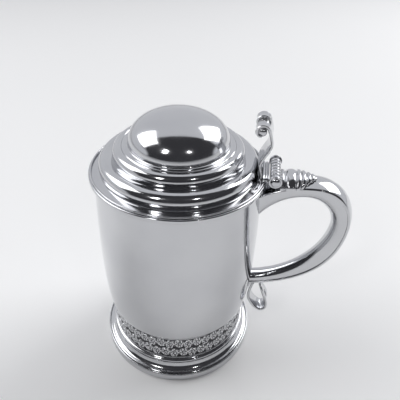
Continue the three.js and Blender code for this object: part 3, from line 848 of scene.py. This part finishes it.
def build_tail(metal):
    """Down the drum's side, outwards under itself and back up to a rounded leaf with a pierced eye."""
    top = handle_low - strap_crown - 0.4
    low = handle_low - tail_drop
    side = drum_outside(mix(low, top, 0.6)) + tail_thickness / 2 + clearance + 0.6
    leaf_start = 0.74
    shape = [(0.15, 1.04), (0.03, 0.75), (0, 0.53), (0.07, 0.37), (0.25, 0.19), (0.47, 0.06), (0.71, 0),
             (0.9, 0.05), (0.97, 0.19), (0.93, 0.39), (0.77, 0.63), (0.55, 0.89)]
    line, travel = spline([(side + a * tail_out, mix(low, top, b)) for a, b in shape], 140)

    def width_at(t):
        if t < leaf_start:
            return through(t / leaf_start, tail_half_width)
        return tail_half_width[2] * math.sqrt(max(0.02, 1 - ((t - leaf_start) / 0.262) ** 2))

    rings = along(line, travel, lambda t: strip_section(width_at(t), tail_thickness, 0.5, 16))
    leaf = loft("tail_scroll", rings, 45)
    centre = (side + 0.85 * tail_out, mix(low, top, 0.52))
    way = travel[int(0.82 * 140)]
    out = (-way[1], way[0])
    oval = [(tail_eye["half_width"] * math.cos(a), tail_eye["half_height"] * math.sin(a))
            for a in np.linspace(0, 2 * math.pi, 48, endpoint=False)]
    rod = [[(centre[0] + v * way[0] + d * out[0], u, centre[1] + v * way[1] + d * out[1]) for u, v in oval]
           for d in (-4, 4)]
    boolean(leaf, loft("eye_tool", rod), "DIFFERENCE")
    finish_piece(leaf, "tankard", ["handle_tail_scroll"], metal)


# ------------------------------------------------------------------ thumbpiece


def thumb_stem(root_x, base, eye_z):
    """The stem: up past the first tier, leaning over it a little, then out to the scrolls."""
    shape = [(0, 0), (0.13, 0), (0.25, -0.28), (0.33, -0.25), (0.45, 0.14), (0.61, 0.76), (0.75, 1),
             (0.88, 0.84), (1.02, scroll_start)]  # (share of the height, share of the lean)
    line, way = spline([(root_x + out * thumb_lean, mix(base, eye_z, up)) for up, out in shape], 90)

    def section_at(t):
        return strip_section(through(t, thumb_half_width), thumb_thickness, thumb_crown, 24)

    return loft("thumbpiece_scrolls", along(line, way, section_at), 45)


def add_scroll(stem, eye, middle, half):
    """Adds one scroll: a spiral strip round its eye, with a rounded roll in it."""
    radius = scroll_radius - thumb_thickness / 2
    turns = np.linspace(0, 1.5 * math.pi, 90)
    reach = radius * (1 - 0.4 * turns / turns[-1])
    spiral = np.stack([eye[0] + reach * np.cos(turns), eye[1] + reach * np.sin(turns)], 1)
    way = np.gradient(spiral, axis=0)
    way = way / np.linalg.norm(way, axis=1)[:, None]
    rings = along(spiral, way, lambda t: strip_section(half, thumb_thickness, 0.3, 12))
    rings = [[(x, y + middle, z) for x, y, z in ring] for ring in rings]
    boolean(stem, loft("curl", rings, 45), "UNION")
    barrel = [(scroll_eye * math.cos(a), (half - 1.2) * math.copysign(1, a) + 1.8 * math.sin(a))
              for a in np.linspace(-1.45, 1.45, 20)]
    rod = [(0, -half - 0.6)] + barrel + [(0, half + 0.6)]
    boolean(stem, turned_across("roll", rod, (eye[0], middle, eye[1]), 48), "UNION")


def build_thumbpiece(metal):
    """A wide strip that stands in front of the hinge plate and splits into two scrolls at the top."""
    base = brim_top + brim_rise + clearance + 0.3
    root_x = mouth_radius - lower_tier["inset"] + clearance + thumb_thickness / 2 + 0.5
    eye_z = thumb_top - scroll_radius
    head_x = root_x + scroll_start * thumb_lean
    half = (thumb_half_width[2] - scroll_split) / 2
    eye = (head_x - scroll_radius + thumb_thickness / 2, eye_z)
    stem = thumb_stem(root_x, base, eye_z)
    for side in (-1, 1):
        add_scroll(stem, eye, side * (scroll_split + half), half)
    finish_piece(stem, "lid", ["thumbpiece"], metal)


# ------------------------------------------------------------------ floor, light and camera


def build_floor():
    reach = 6000
    corners = [(-reach, -reach, 0), (reach, -reach, 0), (reach, reach, 0), (-reach, reach, 0)]
    floor = make_object("floor", corners, [[0, 1, 2, 3]])
    floor.data.materials.append(floor_material())


VIEW_TURN = 11.0  # degrees the handle is turned towards the camera
CAMERA_PLACE = (0, -232.57, 295.51)
CAMERA_TURN = {"pitch": 36.17, "yaw": 3.53, "roll": 2.15}
FOCAL_SHARE = 420 / 400  # focal length as a share of the picture's width

SKY = (0.72, 0.73, 0.76)
ROOM = (0.05, 0.05, 0.055)
ROOM_TOP = 96  # degrees from the horizon behind the camera up to the dark room's upper edge
ROOM_EDGE = (-0.015, 0.015)  # cosines between which the upper edge blurs
ROOM_TURN = 4  # degrees that the room is turned from the camera's own side
ROOM_SIDE = (0.93, 0.97)  # cosines, from straight sideways, between which its two sides blur


def from_view(x, y, z):
    """A place in mm given with +Y away from the camera and +X to its right, about the vessel axis."""
    a = math.radians(VIEW_TURN)
    return Vector((x * math.cos(a) - y * math.sin(a) + axis_x, x * math.sin(a) + y * math.cos(a), z)) * MM


def build_camera():
    data = bpy.data.cameras.new("camera")
    data.sensor_width = 36
    data.lens = FOCAL_SHARE * data.sensor_width
    data.clip_start = 0.01
    data.clip_end = 50
    camera = bpy.data.objects.new("camera", data)
    bpy.context.scene.collection.objects.link(camera)
    turn = (Matrix.Rotation(math.radians(VIEW_TURN - CAMERA_TURN["yaw"]), 4, "Z")
            @ Matrix.Rotation(math.radians(90 - CAMERA_TURN["pitch"]), 4, "X")
            @ Matrix.Rotation(math.radians(CAMERA_TURN["roll"]), 4, "Z"))
    camera.matrix_world = Matrix.Translation(from_view(*CAMERA_PLACE)) @ turn
    bpy.context.scene.camera = camera


def area_light(name, place, target, size, power):
    data = bpy.data.lights.new(name, "AREA")
    data.shape = "RECTANGLE"
    data.size, data.size_y = size
    data.energy = power
    light = bpy.data.objects.new(name, data)
    bpy.context.scene.collection.objects.link(light)
    start, end = from_view(*place), from_view(*target)
    light.location = start
    light.rotation_euler = (end - start).to_track_quat("-Z", "Y").to_euler()


def from_camera_side(degrees_up):
    """Direction towards the camera's side, that many degrees over the horizon."""
    a, up = math.radians(VIEW_TURN), math.radians(degrees_up)
    return (math.sin(a) * math.cos(up), -math.cos(a) * math.cos(up), math.sin(up))


def build_world():
    """Soft white surroundings, and a dark room behind the camera that reaches overhead."""
    world = bpy.data.worlds.new("studio")
    world.use_nodes = True
    bpy.context.scene.world = world
    nodes, links = world.node_tree.nodes, world.node_tree.links
    background = nodes["Background"]
    place = nodes.new("ShaderNodeTexCoord")

    def facing(direction):
        node = nodes.new("ShaderNodeVectorMath")
        node.operation = "DOT_PRODUCT"
        node.inputs[1].default_value = direction
        links.new(place.outputs["Generated"], node.inputs[0])
        return node.outputs["Value"]

    turn = math.radians(VIEW_TURN + ROOM_TURN)
    under_top = ramp(nodes, links, facing(from_camera_side(ROOM_TOP - 90)), *ROOM_EDGE, 0, 1)
    sideways = maths(nodes, links, "ABSOLUTE", facing((math.cos(turn), math.sin(turn), 0)))
    between_sides = ramp(nodes, links, sideways, *ROOM_SIDE, 1, 0)
    inside_room = maths(nodes, links, "MULTIPLY", under_top, between_sides)
    colour = colour_mix(nodes, links, inside_room, SKY, ROOM)
    links.new(colour, background.inputs["Color"])
    background.inputs["Strength"].default_value = 1.0


def build_lights():
    floor_aim = (0, 0, 80)
    lid_aim = (0, 0, 150)
    area_light("key", (-1500, 300, 1400), floor_aim, (1.3, 1.3), 15)
    area_light("fill", (1500, 900, 1500), floor_aim, (1.3, 1.3), 23)
    area_light("window", (-420, -620, 760), lid_aim, (0.13, 0.2), 1.0)
    area_light("spark", (300, -640, 760), lid_aim, (0.05, 0.05), 0.3)


# ------------------------------------------------------------------ the whole


def build():
    bright = polished_pewter()
    chased = chased_pewter()
    satin = turned_satin("inner_pewter", (0.58, 0.59, 0.6))
    steel = turned_satin("hinge_steel", (0.45, 0.46, 0.47))
    build_drum(bright)
    build_bottom(satin)
    build_band(chased)
    build_foot(bright)
    build_hoop("band_bead", "band_wire", "tankard", bright)
    build_hoop("foot_bead", "foot_wire", "tankard", bright)
    build_hoop("brim_bead", "lid_rim_wire", "lid", bright)
    build_cover(bright)
    build_bezel(satin)
    build_strap(bright)
    build_channel(bright)
    build_drop(bright)
    build_tail(bright)
    for i in range(4):
        build_knuckle(f"handle_knuckle_{i + 1}", "tankard", bright)
    for i in range(3):
        build_knuckle(f"lid_knuckle_{i + 1}", "lid", bright)
    for node in ("hinge_pin_head_front", "hinge_pin_head_back"):
        build_pin_head(node, bright)
    build_lid_plate(bright)
    build_thumbpiece(bright)
    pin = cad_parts["hinge_pin"]
    pin.data.materials.clear()
    pin.data.materials.append(steel)


build_camera()
build()
build_floor()
build_world()
build_lights()
bpy.context.scene.view_settings.view_transform = "Standard"
